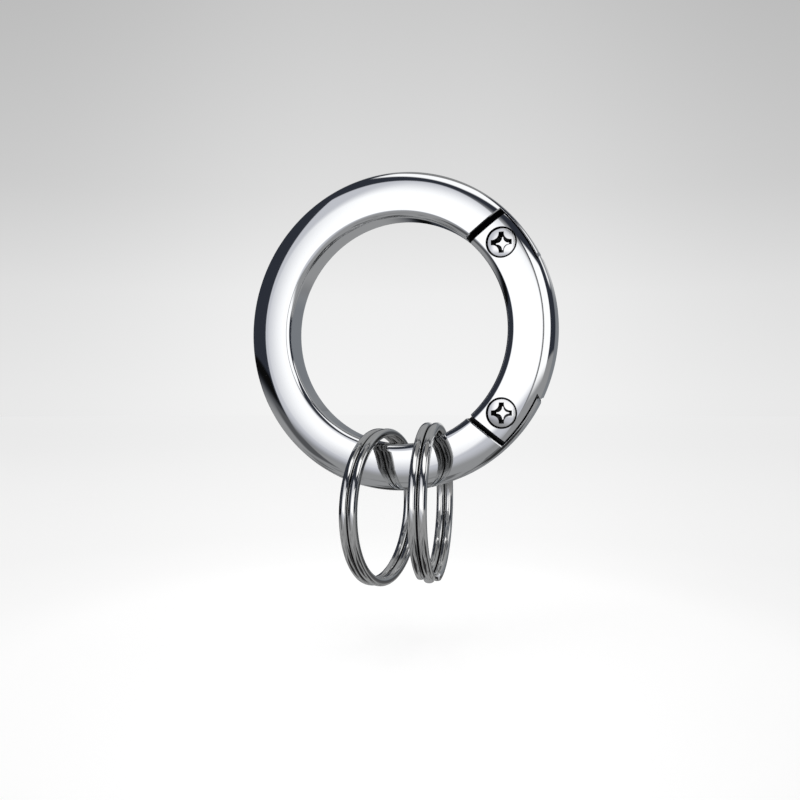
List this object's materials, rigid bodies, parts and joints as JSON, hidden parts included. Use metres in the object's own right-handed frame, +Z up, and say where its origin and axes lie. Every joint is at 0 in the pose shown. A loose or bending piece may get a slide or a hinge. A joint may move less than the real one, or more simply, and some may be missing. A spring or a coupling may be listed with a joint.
{
  "type": "gate ring with split rings",
  "caption": "Polished round key ring whose curved gate is held by flush cross-recess screws, with wire split rings hung on the bar for keys.",
  "frame": {"origin": "centre of the large ring's eye, halfway through its thickness", "axes": "+Z up as it hangs, with the split rings below; -Y is the front that shows the screw heads; +X towards the gate"},
  "size_m": [0.0506, 0.0252, 0.0659],
  "materials": {
    "ring_body": "mirror-polished chrome plate",
    "gate": "mirror-polished chrome plate",
    "screw": "bright plated steel",
    "split_ring": "tumbled nickel-plated spring steel"
  },
  "bodies": {
    "ring": {"ring_body": "ring_body"},
    "gate": {"gate": "gate"},
    "upper_screw": {"upper_screw": "screw"},
    "lower_screw": {"lower_screw": "screw"},
    "split_ring_left": {"split_ring_left": "split_ring"},
    "split_ring_right": {"split_ring_right": "split_ring"}
  },
  "joints": [
    {"name": "gate_lift", "type": "slide", "parent": "ring", "child": "gate", "axis": [0, -1, 0], "range_m": [0, 0.008]},
    {"name": "upper_screw_out", "type": "slide", "parent": "gate", "child": "upper_screw", "axis": [0, -1, 0], "range_m": [0, 0.006]},
    {"name": "lower_screw_out", "type": "slide", "parent": "gate", "child": "lower_screw", "axis": [0, -1, 0], "range_m": [0, 0.006]},
    {"name": "split_ring_left_swing", "type": "hinge", "parent": "ring", "child": "split_ring_left", "pos_m": [-0.00275, 0, -0.02148], "axis": [0.9919, 0, -0.127], "range_deg": [-30, 30]},
    {"name": "split_ring_right_swing", "type": "hinge", "parent": "ring", "child": "split_ring_right", "pos_m": [0.0056, 0, -0.02091], "axis": [0.966, 0, 0.2587], "range_deg": [-30, 30]}
  ]
}
